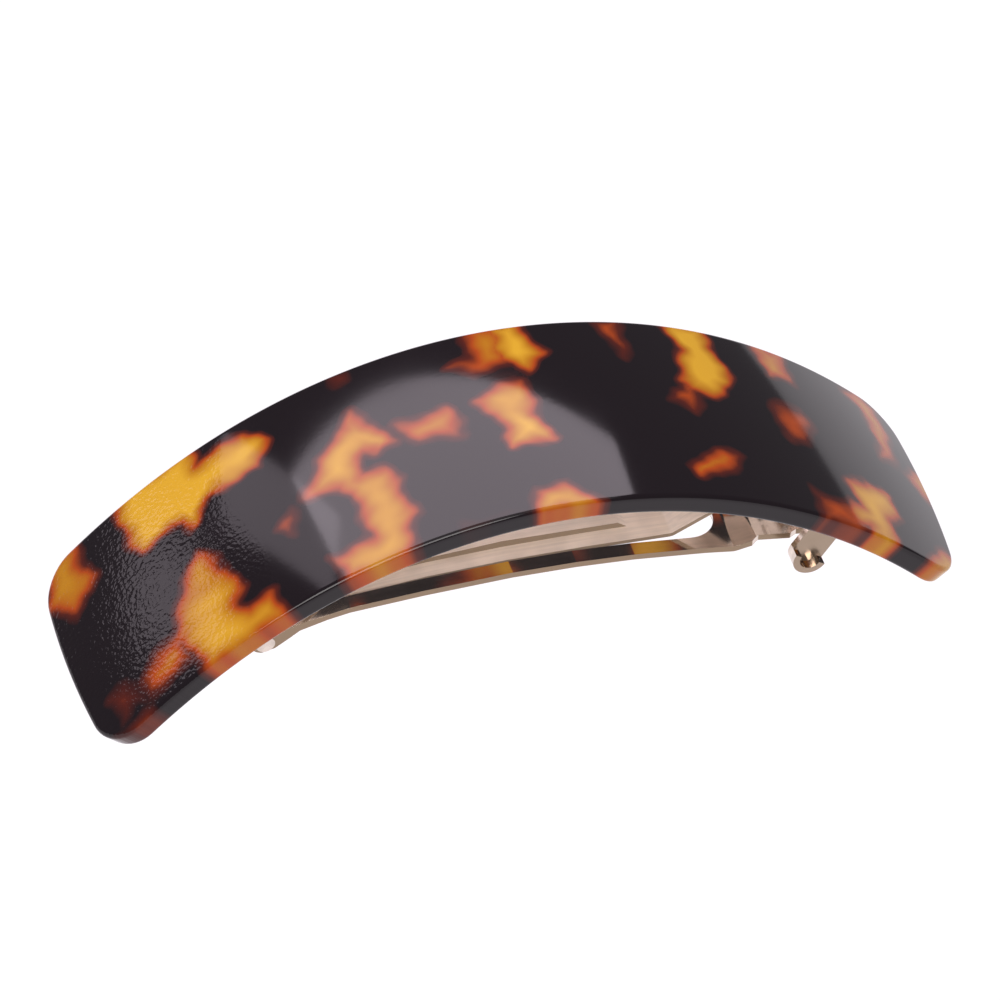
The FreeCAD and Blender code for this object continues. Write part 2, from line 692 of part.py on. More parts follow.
def make_ear(name, side):
    """Catch ear: a leaning strip, a lobe with a turned-out lip and an inner prong."""
    owner = body(name)
    half = size("ear_width") / 2
    inner = "(Dimensions.nose_width / 2 + Dimensions.ear_gap)"
    centre = ear_frame(size("ear_length"), 0.0)
    lobe = size("ear_lobe")
    depth = BASE_FACE + size("sheet") + size("gap")
    left, right = place(size("ear_root_s") - half, depth), place(size("ear_root_s") + half, depth)
    strip = tangent_hull(left, right, centre, lobe)
    sign = -side
    side_sketch = sketch(owner, "EarSide", "XZ_Plane", strip, "%d * %s" % (sign, inner))
    blade = pad(owner, "EarBlade", side_sketch, "Dimensions.sheet", both_ways=False)
    blade.Reversed = side > 0
    lean = math.radians(size("ear_tilt"))
    first, last = math.pi - lean, 2 * math.pi - lean
    small = lobe - size("sheet")

    def rim(radius, angle):
        return centre[0] + radius * math.cos(angle), centre[1] + radius * math.sin(angle)

    lip = [arc(centre, lobe, first, last), line(rim(lobe, last), rim(small, last)),
           arc(centre, small, first, last), line(rim(small, first), rim(lobe, first))]
    reach = "%d * (%s + Dimensions.sheet - %g)" % (sign, inner, BITE)
    lip_sketch = sketch(owner, "LipSide", "XZ_Plane", lip, reach)
    turned_out = pad(owner, "EarLip", lip_sketch, "Dimensions.ear_lip + %g" % BITE, both_ways=False)
    turned_out.Reversed = side > 0
    prong = sketch(owner, "ProngFace", "YZ_Plane", prong_outline(side), "%f" % prong_middle())
    pad(owner, "Prong", prong, "Dimensions.prong_length")
    return owner


def prong_outline(side):
    """Across the clasp: a bar from the ear's blade inwards and a prong down the window."""
    thick = size("sheet")
    blade = size("nose_width") / 2 + size("ear_gap") + BITE
    barb = size("window_width") / 2 - size("gap") / 2
    outside = barb - size("prong_hook")
    inside = outside - thick
    nose_low = nose_height(prong_middle())
    bar_low = nose_low + thick + size("prong_neck")
    tip = nose_low - size("prong_below")
    barb_top = tip + size("barb_height")
    points = ((blade, bar_low), (blade, bar_low + thick), (inside, bar_low + thick), (inside, tip),
              (barb, tip + 0.7 * size("barb_height")), (barb, barb_top), (outside, barb_top),
              (outside, bar_low))
    return polygon([(side * y, z) for y, z in points])


def nose_height(x):
    """Height of the arm's lower face on the nose."""
    (x0, z0), (x1, z1) = arm_points()[-2:]
    return z0 + (x - x0) * (z1 - z0) / (x1 - x0)


# ---------------------------------------------------------------- hand-over
NODES = [make_plate(), make_base(), make_fixing_rivets(), make_pin(), make_arm(), make_bow(),
         make_saddle(), make_ear("catch_ear_near", -1), make_ear("catch_ear_far", 1),
         make_catch_rivet()]
doc.recompute()

for item in doc.Objects:
    if "Invalid" in item.State or "Error" in item.State:
        raise RuntimeError("%s failed: %s" % (item.Label, item.State))
for node in NODES:
    if node.Shape.isNull() or not node.Shape.isValid() or not node.Shape.Solids:
        raise RuntimeError("%s has no valid solid" % node.Label)

os.makedirs("parts", exist_ok=True)
for node in NODES:
    node.Shape.exportStep("parts/%s.step" % node.Label)
    box = node.Shape.BoundBox
    print("%-16s solids %d volume %8.2f x %6.2f..%6.2f y %6.2f..%6.2f z %6.2f..%6.2f" % (
        node.Label, len(node.Shape.Solids), node.Shape.Volume, box.XMin, box.XMax,
        box.YMin, box.YMax, box.ZMin, box.ZMax))
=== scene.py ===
"""Looks of the barrette: a polished tortoiseshell acetate plate on a nickel-plated hair clasp.

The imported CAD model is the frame.  Pieces are numpy surfaces, or merged and
softened copies of the clasp's sheet-metal nodes, and each rides on its body.
Lengths inside the shape functions are millimetres, and meshes are in metres.
"""
import math
import bmesh
import bpy
import numpy as np
from bpy.props import FloatProperty, FloatVectorProperty, PointerProperty
from mathutils import Matrix, Vector


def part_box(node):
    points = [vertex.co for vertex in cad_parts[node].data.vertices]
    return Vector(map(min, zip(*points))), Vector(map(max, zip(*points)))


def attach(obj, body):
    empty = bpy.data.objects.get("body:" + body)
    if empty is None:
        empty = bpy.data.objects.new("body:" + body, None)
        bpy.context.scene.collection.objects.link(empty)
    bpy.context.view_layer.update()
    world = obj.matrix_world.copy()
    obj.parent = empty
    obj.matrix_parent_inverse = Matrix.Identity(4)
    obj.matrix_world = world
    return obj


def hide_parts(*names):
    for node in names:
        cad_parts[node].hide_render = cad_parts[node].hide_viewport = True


bl_info = {
    "name": "Tortoiseshell Barrette",
    "version": (1, 0, 0),
    "blender": (4, 5, 0),
    "location": "3D View > Sidebar > Barrette",
    "description": "Builds a tortoiseshell acetate barrette on its clasp, with a plain studio",
    "category": "Object",
}

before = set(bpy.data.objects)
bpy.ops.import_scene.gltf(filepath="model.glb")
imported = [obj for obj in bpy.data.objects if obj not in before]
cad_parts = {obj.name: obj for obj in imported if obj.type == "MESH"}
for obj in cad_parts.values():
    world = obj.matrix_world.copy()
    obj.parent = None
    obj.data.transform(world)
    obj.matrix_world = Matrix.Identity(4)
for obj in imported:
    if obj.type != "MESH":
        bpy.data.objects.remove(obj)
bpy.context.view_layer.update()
MM = 0.001
FLAT = math.radians(0.5)  # triangles that bend less than this are merged into one face
CREASE = math.radians(40)  # edges that turn more than this are rounded
SIDEWAYS = 0.9  # share of a face's normal along y from which the face takes the duller edge colour: raw sheet edges, and painted shade on broad faces turned sideways
LIGHT_DISTANCE = 2.4  # metres from the origin to each light
PLATE_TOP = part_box("acetate_plate")[1].z / MM
PLATE_WIDTH = (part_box("acetate_plate")[1].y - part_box("acetate_plate")[0].y) / MM

# Amber patches of the acetate: how gold the middle gets, then the corners as
# (mm along the arch from its middle, mm across it).
PATCHES = (
    (0.62, (-51.4, 8.0), (-49.1, 12.8), (-46.0, 12.8), (-45.9, 10.0), (-44.9, 6.9), (-45.9, 5.6),
           (-48.6, 4.4)),
    (1.00, (-39.9, 12.9), (-30.8, 12.9), (-30.5, 10.4), (-25.0, 10.4), (-23.2, 8.3), (-24.6, 6.1),
           (-30.2, 6.0), (-31.8, 5.0), (-32.9, 3.7), (-33.9, 5.5), (-38.6, 5.3), (-39.9, 7.0)),
    (0.72, (-33.9, -0.2), (-32.5, -1.2), (-31.5, -4.2), (-30.9, -6.8), (-32.2, -8.3), (-31.0, -9.3),
           (-28.1, -9.5), (-27.8, -12.9), (-37.4, -12.9), (-38.0, -9.8), (-39.2, -7.0), (-37.9, -4.0),
           (-35.9, -1.4)),
    (0.52, (-37.6, -6.0), (-41.0, -6.6), (-44.4, -8.2), (-44.0, -10.6), (-38.6, -10.4)),
    (0.34, (-49.0, -7.2), (-46.2, -6.5), (-44.6, -8.6), (-44.4, -11.6), (-46.2, -10.0), (-48.2, -10.6)),
    (0.45, (-50.2, -11.6), (-44.9, -11.8), (-44.2, -12.9), (-50.2, -12.9)),
    (0.52, (-25.0, -3.0), (-23.4, -1.8), (-23.1, -2.8), (-24.2, -4.1)),
    (0.74, (-14.6, 6.7), (-13.3, 4.8), (-12.1, 2.6), (-11.6, 1.0), (-13.2, 0.4), (-14.5, 1.7),
           (-15.7, 0.0), (-15.8, -1.3), (-13.1, -1.9), (-12.6, -3.6), (-12.7, -6.5), (-12.2, -8.6),
           (-13.3, -10.2), (-14.1, -12.9), (-21.0, -12.9), (-21.1, -9.5), (-17.1, -9.2), (-16.9, -6.0),
           (-16.9, -3.0), (-17.8, -2.0), (-21.6, -0.9), (-20.4, 0.2), (-18.6, 2.6), (-16.6, 4.4),
           (-15.5, 5.0)),
    (0.36, (-15.2, 12.4), (-13.2, 12.4), (-13.5, 10.9), (-14.8, 11.0)),
    (0.58, (-10.6, 2.9), (-5.1, 2.9), (-4.8, 0.6), (-4.7, -0.9), (-6.5, -0.6), (-9.5, 0.1), (-10.3, 1.2)),
    (0.20, (-12.2, 3.0), (-10.1, 3.4), (-10.1, 1.0), (-11.7, 1.2)),
    (0.60, (-0.9, 12.9), (2.6, 12.9), (2.6, 7.4), (-1.5, 6.8), (-3.5, 8.4), (-1.2, 8.8), (-0.7, 10.0)),
    (1.00, (2.0, 12.9), (4.8, 12.9), (5.0, 9.4), (5.9, 8.2), (4.8, 7.4), (3.8, 6.3), (2.4, 7.8),
           (2.0, 9.5)),
    (0.20, (-2.2, 7.4), (4.1, 6.8), (3.6, 3.8), (-1.2, 4.0)),
    (0.84, (-2.1, 3.2), (-0.2, 4.0), (2.8, 4.4), (2.9, 1.4), (2.6, -0.4), (3.2, -3.5), (-0.7, -3.7),
           (-0.2, -1.2), (-1.5, 0.8)),
    (0.80, (-0.4, -10.0), (3.0, -10.1), (4.6, -11.4), (5.8, -12.9), (-0.6, -12.9)),
    (0.24, (-8.7, -11.0), (-0.2, -11.2), (-0.5, -12.9), (-9.2, -12.9)),
    (0.46, (13.2, 12.2), (15.2, 12.2), (15.0, 9.0), (14.5, 7.0), (13.8, 8.4), (13.2, 9.8)),
    (1.00, (20.7, 12.9), (25.0, 12.9), (24.9, 9.6), (25.5, 7.2), (25.5, 4.8), (24.1, 3.9), (23.1, 2.5),
           (20.9, 2.7), (20.0, 4.0), (20.6, 6.4), (21.5, 9.0), (21.0, 10.8)),
    (0.55, (19.8, 4.2), (21.4, 2.6), (20.2, 0.9), (19.6, -0.5), (17.7, 1.2), (17.9, 2.2), (19.4, 2.5)),
    (0.62, (16.9, -8.4), (18.2, -7.2), (21.0, -6.2), (22.5, -6.2), (22.0, -7.6), (19.6, -8.8),
           (17.1, -9.7)),
    (0.85, (31.2, 12.5), (35.6, 12.3), (34.4, 10.4), (35.0, 8.0), (31.8, 8.0), (31.9, 10.6)),
    (0.50, (30.2, 3.3), (34.0, 3.5), (34.6, 1.6), (33.8, -0.8), (32.6, -2.1), (30.6, -1.7), (29.7, -0.2)),
    (0.80, (36.8, -5.6), (39.8, -4.5), (42.9, -5.2), (43.1, -7.3), (41.2, -9.2), (40.8, -12.9),
           (37.4, -12.9), (37.8, -11.3), (35.6, -11.2), (35.8, -8.9), (37.6, -8.6)),
    (0.48, (30.6, -8.8), (34.4, -9.6), (36.4, -8.8), (38.0, -11.2), (37.6, -12.9), (31.2, -12.9)),
    (0.62, (43.6, 10.9), (46.0, 12.2), (48.8, 11.4), (48.9, 8.0), (48.0, 5.0), (47.1, 1.6), (44.6, 1.2),
           (45.6, 4.0), (46.0, 7.0), (45.4, 9.4)),
    (0.66, (48.8, 1.4), (50.4, 2.7), (52.6, 2.6), (52.6, -1.0), (50.5, -1.1)),
    (0.74, (46.1, -12.9), (47.2, -10.9), (49.6, -9.1), (51.8, -9.2), (51.4, -12.9)),
)


# ------------------------------------------------------------------ settings
class BarretteSizes(bpy.types.PropertyGroup):
    """Sizes of the acetate plate and of the clasp's softened edges."""

    arc: FloatProperty(name="Arc length", description="Length of the plate along its top face",
                       default=0.1038, unit="LENGTH")
    thickness: FloatProperty(name="Thickness", description="Thickness of the acetate",
                             default=0.0023, unit="LENGTH")
    crown: FloatProperty(name="Crown", description="How far the long edges lie below the middle line",
                         default=0.00044, unit="LENGTH")
    taper: FloatProperty(name="Taper", description="How much narrower each side is at the ends",
                         default=0.00037, unit="LENGTH")
    bulge: FloatProperty(name="End bulge", description="How far the ends bow outwards",
                         default=0.0007, unit="LENGTH")
    corner: FloatProperty(name="Corner radius", description="Radius of the four corners",
                          default=0.0043, unit="LENGTH")
    edge: FloatProperty(name="Edge rounding", description="Rounding of the plate's polished edges",
                        default=0.00045, unit="LENGTH")
    metal_edge: FloatProperty(name="Metal edge", description="Rounding of the tumbled sheet-metal edges",
                              default=0.00006, unit="LENGTH")


class BarretteColours(bpy.types.PropertyGroup):
    """Colours of the acetate's layers and of the two metal finishes."""

    ground: FloatVectorProperty(name="Ground", description="Nearly black ground of the tortoiseshell",
                                subtype="COLOR", default=(0.008, 0.005, 0.007))
    ember: FloatVectorProperty(name="Ember", description="Dark red where a patch begins",
                               subtype="COLOR", default=(0.070, 0.010, 0.006))
    fringe: FloatVectorProperty(name="Fringe", description="Red-orange rim of a patch",
                                subtype="COLOR", default=(0.33, 0.050, 0.006))
    amber: FloatVectorProperty(name="Amber", description="Amber body of a patch",
                               subtype="COLOR", default=(0.40, 0.165, 0.008))
    gold: FloatVectorProperty(name="Gold", description="Golden heart of a patch",
                              subtype="COLOR", default=(0.58, 0.32, 0.022))
    nickel: FloatVectorProperty(name="Nickel", description="Polished warm nickel of the clasp",
                                subtype="COLOR", default=(0.80, 0.70, 0.62))
    # duller colour of the sheet's raw edges, which is also painted shade on broad faces turned sideways,
    # such as the arm's cheeks and the ears
    raw_edge_and_painted_shade: FloatVectorProperty(name="Sheared edge", description="Cut edges of the plated sheet",
                                 subtype="COLOR", default=(0.30, 0.22, 0.15))
    spring: FloatVectorProperty(name="Spring steel", description="Brushed steel of the bow",
                                subtype="COLOR", default=(0.97, 0.81, 0.69))


class BarretteStudio(bpy.types.PropertyGroup):
    """Camera, floor and lights."""

    azimuth: FloatProperty(name="Azimuth", description="Camera direction round the barrette",
                           default=math.radians(-19.233), subtype="ANGLE")
    elevation: FloatProperty(name="Elevation", description="Camera height above the horizon",
                             default=math.radians(45.759), subtype="ANGLE")
    roll: FloatProperty(name="Roll", description="Turn of the camera about its own line of sight",
                        default=math.radians(2.729), subtype="ANGLE")
    distance: FloatProperty(name="Distance", description="Camera to the point it looks at",
                            default=1.37479, unit="LENGTH")
    aim_along: FloatProperty(name="Aim along", description="Place along the barrette in the view's middle",
                             default=-0.00051, unit="LENGTH")
    aim_height: FloatProperty(name="Aim height", description="Height of the point the camera looks at",
                              default=0.0132761, unit="LENGTH")
    lens: FloatProperty(name="Focal length", description="Focal length in millimetres on a 36 mm sensor",
                        default=505.77)
    floor_drop: FloatProperty(name="Floor drop", description="Room below the barrette for the arm to open",
                              default=0.060, unit="LENGTH")
    floor_glow: FloatProperty(name="Floor glow", description="Light that comes up through the floor",
                              default=0.77)
    surround: FloatProperty(name="Surround", description="Brightness of the dim room round the lights",
                            default=0.22)


# ------------------------------------------------------------------ mesh helpers
def grid_object(name, rows):
    """A closed mesh from a grid of points in millimetres, rows by columns by 3.

    Columns run round the piece and join up, and rows that meet are merged."""
    count, around = rows.shape[:2]
    index = np.arange(count * around).reshape(count, around)
    following = np.roll(index, -1, axis=1)
    quads = np.stack([index[:-1], index[1:], following[1:], following[:-1]], axis=-1)
    mesh = bpy.data.meshes.new(name)
    mesh.from_pydata(rows.reshape(-1, 3) * MM, [], quads.reshape(-1, 4))
    return new_object(name, mesh)


def new_object(name, mesh):
    """An object of that mesh in the scene, at the origin and unturned."""
    made = bpy.data.objects.new(name, mesh)
    bpy.context.scene.collection.objects.link(made)
    return made


def close_and_smooth(mesh):
    """Merges points that coincide, turns the faces outwards and smooths them."""
    edit = bmesh.new()
    edit.from_mesh(mesh)
    bmesh.ops.remove_doubles(edit, verts=edit.verts, dist=1e-7)
    bmesh.ops.recalc_face_normals(edit, faces=edit.faces)
    if edit.calc_volume(signed=True) < 0:
        bmesh.ops.reverse_faces(edit, faces=edit.faces)
    edit.to_mesh(mesh)
    edit.free()
    mesh.shade_smooth()


def store_points(mesh, name, values):
    """Keeps one number per point on the mesh, for its material."""
    layer = mesh.attributes.new(name, "FLOAT", "POINT")
    layer.data.foreach_set("value", values.astype(np.float32))


# ------------------------------------------------------------------ the plate
def arch(s):
    """(x, height below the top, slope) at arc length s.

    The curvature is greatest in the middle and falls with the square of s, the
    slope is its integral, and x and the fall are the sums of the slope's cosine
    and sine along the arc."""
    middle, loss, half = 0.0203, 0.0109, 52.5
    table = np.linspace(0.0, half * 1.02, 4001)
    step = table[1]
    slope = middle * table - loss * table ** 3 / (3 * half ** 2)
    between = (slope[1:] + slope[:-1]) / 2
    across = np.concatenate([[0.0], np.cumsum(np.cos(between))]) * step
    down = np.concatenate([[0.0], np.cumsum(np.sin(between))]) * step
    run = np.abs(s)
    side = np.sign(s)
    across, down, slope = (np.interp(run, table, column) for column in (across, down, slope))
    return side * across, down, side * slope


def plan_rings(inset, half_length, half_width, corner):
    """Rounded rectangles inset by each amount, as (s, y) arrays, rings by points.

    Each ring is a straight side, a quarter circle and a straight end, mirrored
    into four quarters.  Inset by the half width it is the middle line."""
    o = inset[:, None]
    radius = np.clip(corner - o, 0.0, None)
    reach = half_length - o - radius
    span = np.clip(half_width - o - radius, 0.0, None)
    side = np.linspace(0.0, 1.0, 151)[None, :-1]
    turn = np.linspace(0.0, math.pi / 2, 13)[None, :-1]
    end = np.linspace(1.0, 0.0, 25)[None, :]
    s = np.concatenate([reach * side, reach + radius * np.sin(turn), (reach + radius) + 0 * end], axis=1)
    y = np.concatenate([span + radius + 0 * side, span + radius * np.cos(turn), span * end], axis=1)
    s = np.concatenate([s, s[:, -2::-1], -s[:, 1:], -s[:, -2:0:-1]], axis=1)
    y = np.concatenate([y, -y[:, -2::-1], -y[:, 1:], y[:, -2:0:-1]], axis=1)
    return s, y


def plate_rows(sizes):
    """The plate's surface, from the middle line of the top to that of the underside.

    Rings shrink from the outline to the middle line on both faces.  Between them
    a quarter circle rounds each edge and a straight wall joins them.  The outline
    is warped by the taper and the end bulge, dropped by the crown, which grows
    with the square of y, and laid on the arch.  Returns the points, s and y."""
    half, width = sizes.arc / MM / 2, PLATE_WIDTH / 2
    thick, edge = sizes.thickness / MM, sizes.edge / MM
    above = np.linspace(width, edge * 1.2, 44)
    below = np.linspace(edge * 1.2, width, 22)
    turn = np.linspace(0.0, math.pi / 2, 8)
    wall = np.linspace(edge, thick - edge, 6)[1:-1]
    inset = np.concatenate([above, edge * (1 - np.sin(turn)), 0 * wall, edge * (1 - np.cos(turn)), below])
    depth = np.concatenate([0 * above, edge * (1 - np.cos(turn)), wall,
                            thick - edge + edge * np.sin(turn), thick + 0 * below])
    s, y = plan_rings(inset, half, width, sizes.corner / MM)
    wide = y * (1 - sizes.taper / MM / width * (s / half) ** 2)
    long = s * (1 - sizes.bulge / MM / half * (y / width) ** 2)
    depth = depth[:, None] + sizes.crown / MM * (y / width) ** 2
    x, fall, slope = arch(long)
    points = np.stack([x - depth * np.sin(slope), wide, PLATE_TOP - fall - depth * np.cos(slope)], axis=-1)
    return points, long, wide


def inside_depth(s, y, corners):
    """How far each point lies inside a closed outline, negative outside it.

    The distance is the least one to the outline's straight edges, and its sign
    comes from how often a line from the point crosses them."""
    nearest = np.full(s.shape, 1e9)
    crossings = np.zeros(s.shape, bool)
    for (s0, y0), (s1, y1) in zip(corners, corners[1:] + corners[:1]):
        ds, dy = s1 - s0, y1 - y0
        share = np.clip(((s - s0) * ds + (y - y0) * dy) / (ds * ds + dy * dy), 0.0, 1.0)
        nearest = np.minimum(nearest, np.hypot(s - s0 - share * ds, y - y0 - share * dy))
        spans = (y0 > y) != (y1 > y)
        crossings ^= spans & (s < s0 + (y - y0) * ds / (dy if dy else 1e-9))
    return np.where(crossings, nearest, -nearest)


def gold_of(s, y):
    """How golden the acetate is, 0 to 1.  Each patch climbs from its rim inwards
    to its own height, and where patches meet the higher one shows.  Sine waves
    of a few millimetres sway the outlines."""
    rim, climb, rounding = 0.48, 0.36, 0.14
    sway = 0.26 * np.sin(1.4 * y + 0.8 * s) + 0.08 * np.sin(3.1 * y - 1.9 * s)
    swell = 0.24 * np.sin(1.2 * s - 0.7 * y + 1.0) + 0.08 * np.sin(2.7 * s + 2.1 * y)
    gold = np.zeros(s.shape)
    for height, *corners in PATCHES:
        patch = height * (rim + climb * inside_depth(s + sway, y + swell, corners))
        patch = height - np.logaddexp(0.0, (height - patch) / rounding) * rounding
        gold = np.maximum(gold, np.clip(patch, 0.0, 1.0))
    return gold


class BARRETTE_OT_plate(bpy.types.Operator):
    """Build the arched tortoiseshell plate"""

    bl_idname = "barrette.plate"
    bl_label = "Acetate plate"

    def execute(self, context):
        rows, s, y = plate_rows(context.scene.barrette_sizes)
        plate = grid_object("tortoiseshell_plate", rows)
        store_points(plate.data, "gold", gold_of(s, y).ravel())
        store_points(plate.data, "along", s.ravel() * MM)
        store_points(plate.data, "across", y.ravel() * MM)
        close_and_smooth(plate.data)
        if len(plate.data.polygons) < 1000:
            raise RuntimeError("the plate's surface did not form")
        plate.data.materials.append(tortoiseshell(context.scene.barrette_colours))
        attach(plate, "root")
        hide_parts("acetate_plate")
        return {"FINISHED"}


# ------------------------------------------------------------------ the metal pieces
def softened_copy(node, name, width, edge_and_shade_share):
    """A copy of a CAD node with its triangles merged into flat faces and its edges rounded.

    Faces turned sideways get that share of the duller edge colour: their own duller finish on the sheet's
    raw edges, and painted shade on broad sideways faces such as the cheeks and the ears."""
    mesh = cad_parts[node].data.copy()
    mesh.name = name
    mesh.materials.clear()
    edit = bmesh.new()
    edit.from_mesh(mesh)
    bmesh.ops.remove_doubles(edit, verts=edit.verts, dist=1e-6)
    bmesh.ops.dissolve_limit(edit, angle_limit=FLAT, verts=edit.verts, edges=edit.edges)
    edit.to_mesh(mesh)
    edit.free()
    if not mesh.polygons:
        raise RuntimeError(f"{node} has no faces to soften")
    normal = np.empty(len(mesh.polygons) * 3, np.float32)
    mesh.polygons.foreach_get("normal", normal)
    # painted shade: the mask darkens every face turned sideways, the raw sheet edges as their own duller
    # finish and the broad cheek and ear faces as painted shade
    raw_edge_and_painted_shade = np.where(np.abs(normal[1::3]) > SIDEWAYS, edge_and_shade_share, 0.0).astype(np.float32)
    layer = mesh.attributes.new("raw_edge_and_painted_shade", "FLOAT", "FACE")
    layer.data.foreach_set("value", raw_edge_and_painted_shade)
    made = new_object(name, mesh)
    bevel = made.modifiers.new("Tumbled edges", "BEVEL")
    bevel.width = width
    bevel.segments = 2
    bevel.limit_method = "ANGLE"
    bevel.angle_limit = CREASE
    mesh.shade_smooth()
    mesh.set_sharp_from_angle(angle=CREASE)
    flat = made.modifiers.new("Flat faces", "WEIGHTED_NORMAL")
    flat.keep_sharp = True
    return made


class BARRETTE_OT_clasp(bpy.types.Operator):
    """Finish the clasp's sheet-metal parts, which keep the frame's shapes"""

    bl_idname = "barrette.clasp"
    bl_label = "Clasp sheet metal"

    def execute(self, context):
        width = context.scene.barrette_sizes.metal_edge
        colours = context.scene.barrette_colours
        plated = nickel_plate(colours)
        spring = spring_steel(colours)
        # the last number is the share of the duller edge colour on sideways faces; on the ears it darkens
        # their broad faces as painted shade
        for node, piece, body, material, slot, edge_and_shade_share in (
                ("base_plate", "clasp_base", "root", plated, "clasp_steel", 1.0),
                ("catch_saddle", "catch_bridge", "root", plated, "clasp_steel", 0.0),
                ("clasp_arm", "closing_arm", "arm", plated, "clasp_steel", 1.0),
                ("tension_bow", "bow_spring", "root", spring, "bow_steel", 1.0),
                ("catch_ear_near", "pinch_ear_near", "ear_near", plated, "clasp_steel", 0.85),
                ("catch_ear_far", "pinch_ear_far", "ear_far", plated, "clasp_steel", 0.85)):
            made = softened_copy(node, piece, width, edge_and_shade_share)
            made.data.materials.append(material)
            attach(made, body)
            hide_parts(node)
        return {"FINISHED"}


class BARRETTE_OT_fasteners(bpy.types.Operator):
    """Finish the rivets and the hinge pin, which stay as they are in the frame"""

    bl_idname = "barrette.fasteners"
    bl_label = "Rivets and pin"

    def execute(self, context):
        material = turned_metal(context.scene.barrette_colours)
        for node in ("fixing_rivets", "catch_rivet", "hinge_pin"):
            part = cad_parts[node]
            if not part.data.polygons:
                raise RuntimeError(f"{node} has no faces to finish")
            part.data.materials.clear()
            part.data.materials.append(material)
        return {"FINISHED"}


# ------------------------------------------------------------------ materials
def new_material(name):
    """(material, its node tree, its main shader), with the shader's defaults."""
    material = bpy.data.materials.new(name)
    material.use_nodes = True
    tree = material.node_tree
    return material, tree, tree.nodes["Principled BSDF"]


def node(tree, kind, inputs=(), **settings):
    """A node of that kind, with its settings and its numbered or named inputs.
    An input that is a socket is linked, and any other value is set."""
    made = tree.nodes.new("ShaderNode" + kind)
    for name, value in settings.items():
        setattr(made, name, value)
    for key, value in dict(inputs).items():
        if isinstance(value, bpy.types.NodeSocket):
            tree.links.new(value, made.inputs[key])
        else:
            made.inputs[key].default_value = value
    return made


def noise(tree, place, scale, detail, roughness=0.5):
    """Soft noise about 0.5, read at a place."""
    return node(tree, "TexNoise", {"Vector": place, "Scale": scale, "Detail": detail,
                                   "Roughness": roughness}).outputs["Fac"]


def scaled(tree, value, gain, offset):
    """value * gain + offset, where each may be a socket or a number."""
    return node(tree, "Math", {0: value, 1: gain, 2: offset}, operation="MULTIPLY_ADD").outputs[0]


def spread(tree, value, start, end, first, last):
    """The value's run from start to end laid over first to last, and held beyond."""
    return node(tree, "MapRange", {"Value": value, "From Min": start, "From Max": end,
                                   "To Min": first, "To Max": last}).outputs[0]


def dimmed(colour, share):
    """The colour with that share of its brightness."""
    return tuple(x * share for x in colour)


def ramp(tree, factor, stops):
    """A colour ramp of (position, colour) stops over a factor."""
    made = node(tree, "ValToRGB", {0: factor})
    points = made.color_ramp.elements
    while len(points) < len(stops):
        points.new(0.5)
    for point, (position, colour) in zip(points, stops):
        point.position = position
        point.color = (*colour, 1.0)
    return made.outputs["Color"]


def tortoiseshell(colours):
    """Polished acetate: dark ground, patches with a red rim and a golden heart.

    Clouds and streaks along the plate shade the patches, and the pressed grain
    of the hinge end is a fine bump that fades towards the middle."""
    material, tree, shader = new_material("tortoiseshell acetate")
    gold = node(tree, "Attribute", attribute_name="gold").outputs["Fac"]
    along = node(tree, "Attribute", attribute_name="along").outputs["Fac"]
    across = node(tree, "Attribute", attribute_name="across").outputs["Fac"]
    place = node(tree, "CombineXYZ", {0: along, 1: across}).outputs[0]
    drawn = node(tree, "Mapping", {"Vector": place, "Scale": (70.0, 300.0, 1.0)}).outputs[0]
    cloud = noise(tree, place, 140.0, 2.0, 0.4)
    streak = noise(tree, drawn, 1.0, 1.0, 0.4)
    wander = scaled(tree, cloud, 0.44, -0.22)
    swept = scaled(tree, streak, 0.60, -0.31)
    near = spread(tree, gold, 0.0, 0.3, 0.0, 1.0)
    inside = spread(tree, gold, 0.4, 0.8, 0.0, 1.0)
    depth = scaled(tree, swept, inside, scaled(tree, wander, near, gold))
    colour = ramp(tree, depth, (
        (0.00, tuple(colours.ground)), (0.08, tuple(colours.ground)), (0.24, tuple(colours.ember)),
        (0.40, tuple(colours.fringe)), (0.60, tuple(colours.amber)), (0.92, tuple(colours.gold))))
    tree.links.new(colour, shader.inputs["Base Color"])
    smear = noise(tree, place, 90.0, 4.0)
    rough = spread(tree, smear, 0.0, 1.0, 0.04, 0.11)
    tree.links.new(rough, shader.inputs["Roughness"])
    grained = spread(tree, along, -0.027, -0.033, 0.02, 1.0)
    pits = noise(tree, place, 2100.0, 1.0)
    relief = node(tree, "Math", {0: pits, 1: grained}, operation="MULTIPLY").outputs[0]
    bump = node(tree, "Bump", {"Strength": 0.36, "Distance": 0.0001, "Height": relief}).outputs[0]
    tree.links.new(bump, shader.inputs["Normal"])
    shader.inputs["IOR"].default_value = 1.38
    return material


